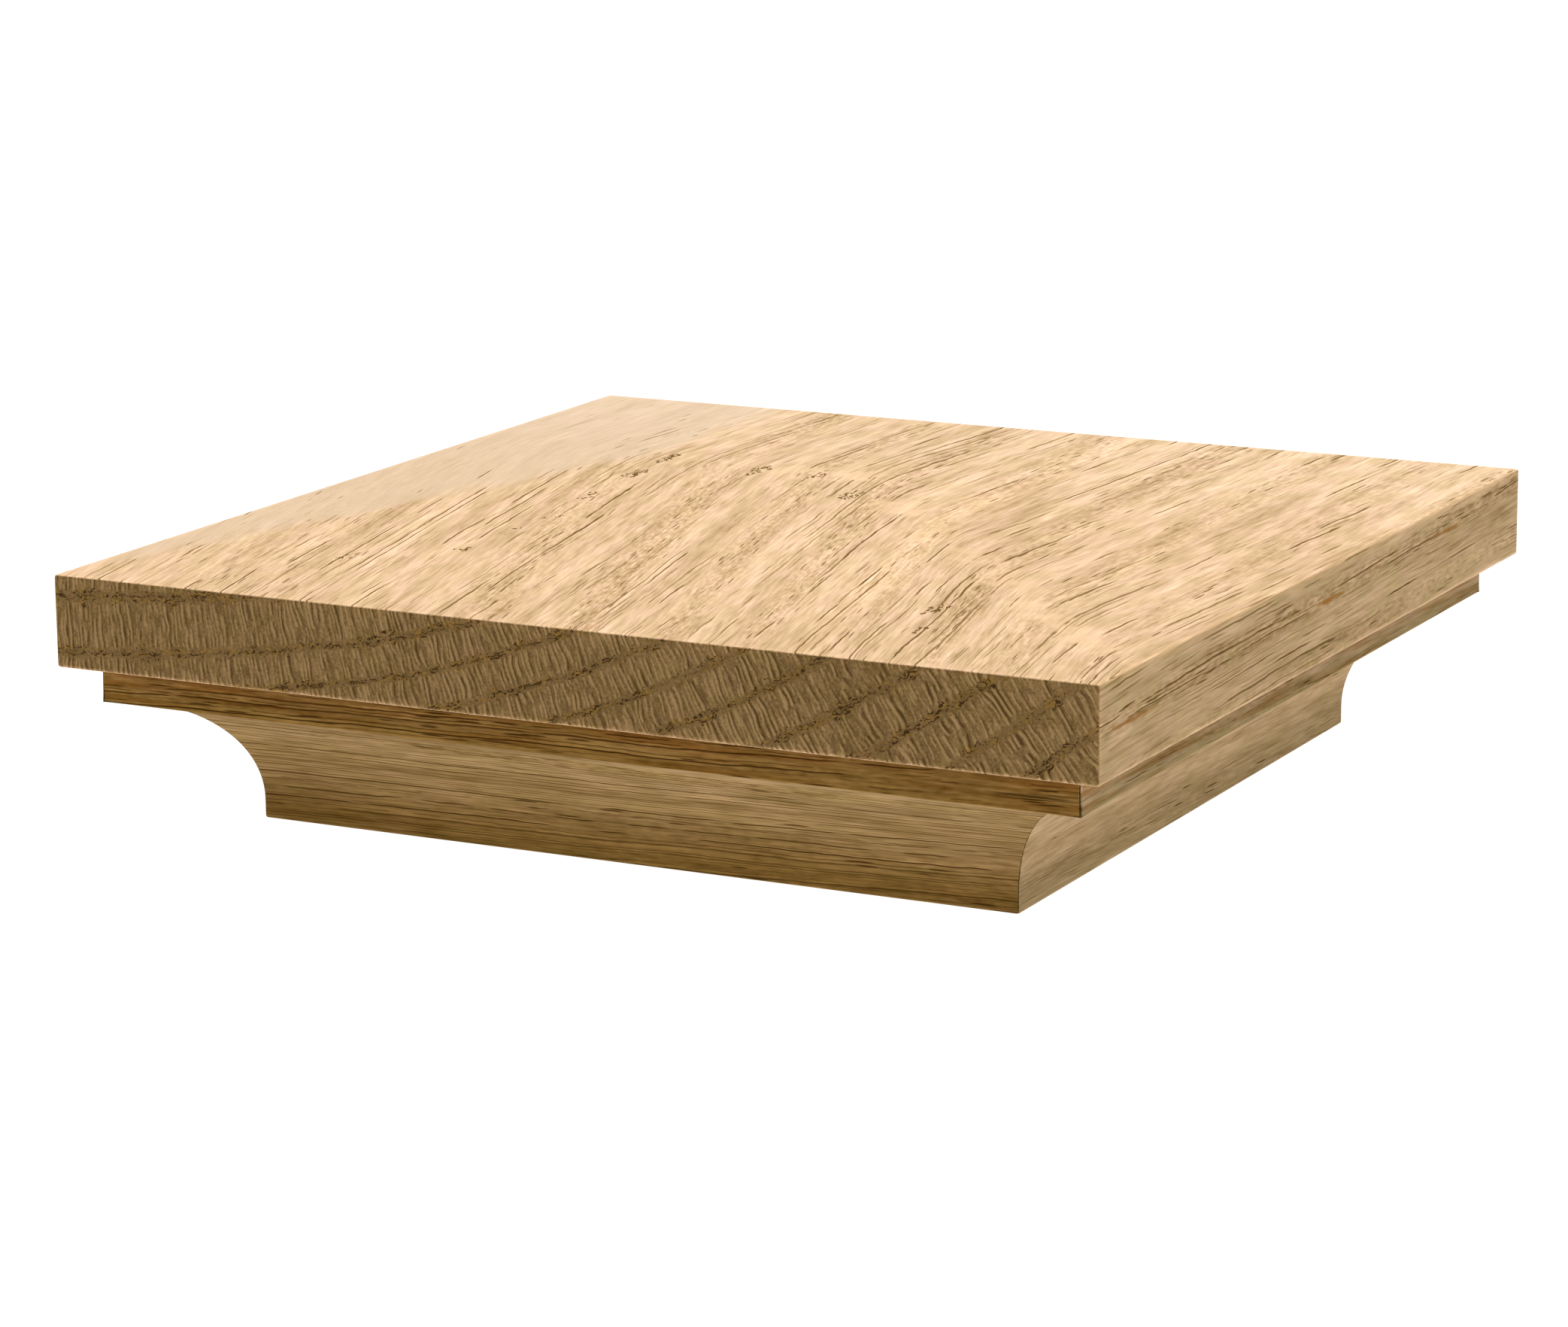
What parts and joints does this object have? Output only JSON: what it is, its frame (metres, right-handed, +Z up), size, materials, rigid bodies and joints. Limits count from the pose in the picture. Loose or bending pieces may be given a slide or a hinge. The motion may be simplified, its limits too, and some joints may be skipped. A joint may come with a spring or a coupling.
{
  "type": "newel post cap",
  "caption": "Flat square oak cap for a box newel post: a flat-sawn board glued on a mitred cove-moulding frame with an open square socket below.",
  "frame": {"origin": "centre of the socket's mouth, on the plane of the moulding's lower edge", "axes": "+Z up out of the board's top, -Y towards the front end-grain face, +X towards the right long-grain face"},
  "size_m": [0.2286, 0.2286, 0.054],
  "materials": {
    "board_oak": "bare sanded flat-sawn oak, end grain on the front and back faces",
    "moulding_oak": "bare sanded oak, long grain along each strip"
  },
  "bodies": {
    "root": {"top_board": "board_oak", "cove_front": "moulding_oak", "cove_right": "moulding_oak", "cove_back": "moulding_oak", "cove_left": "moulding_oak"}
  },
  "joints": []
}
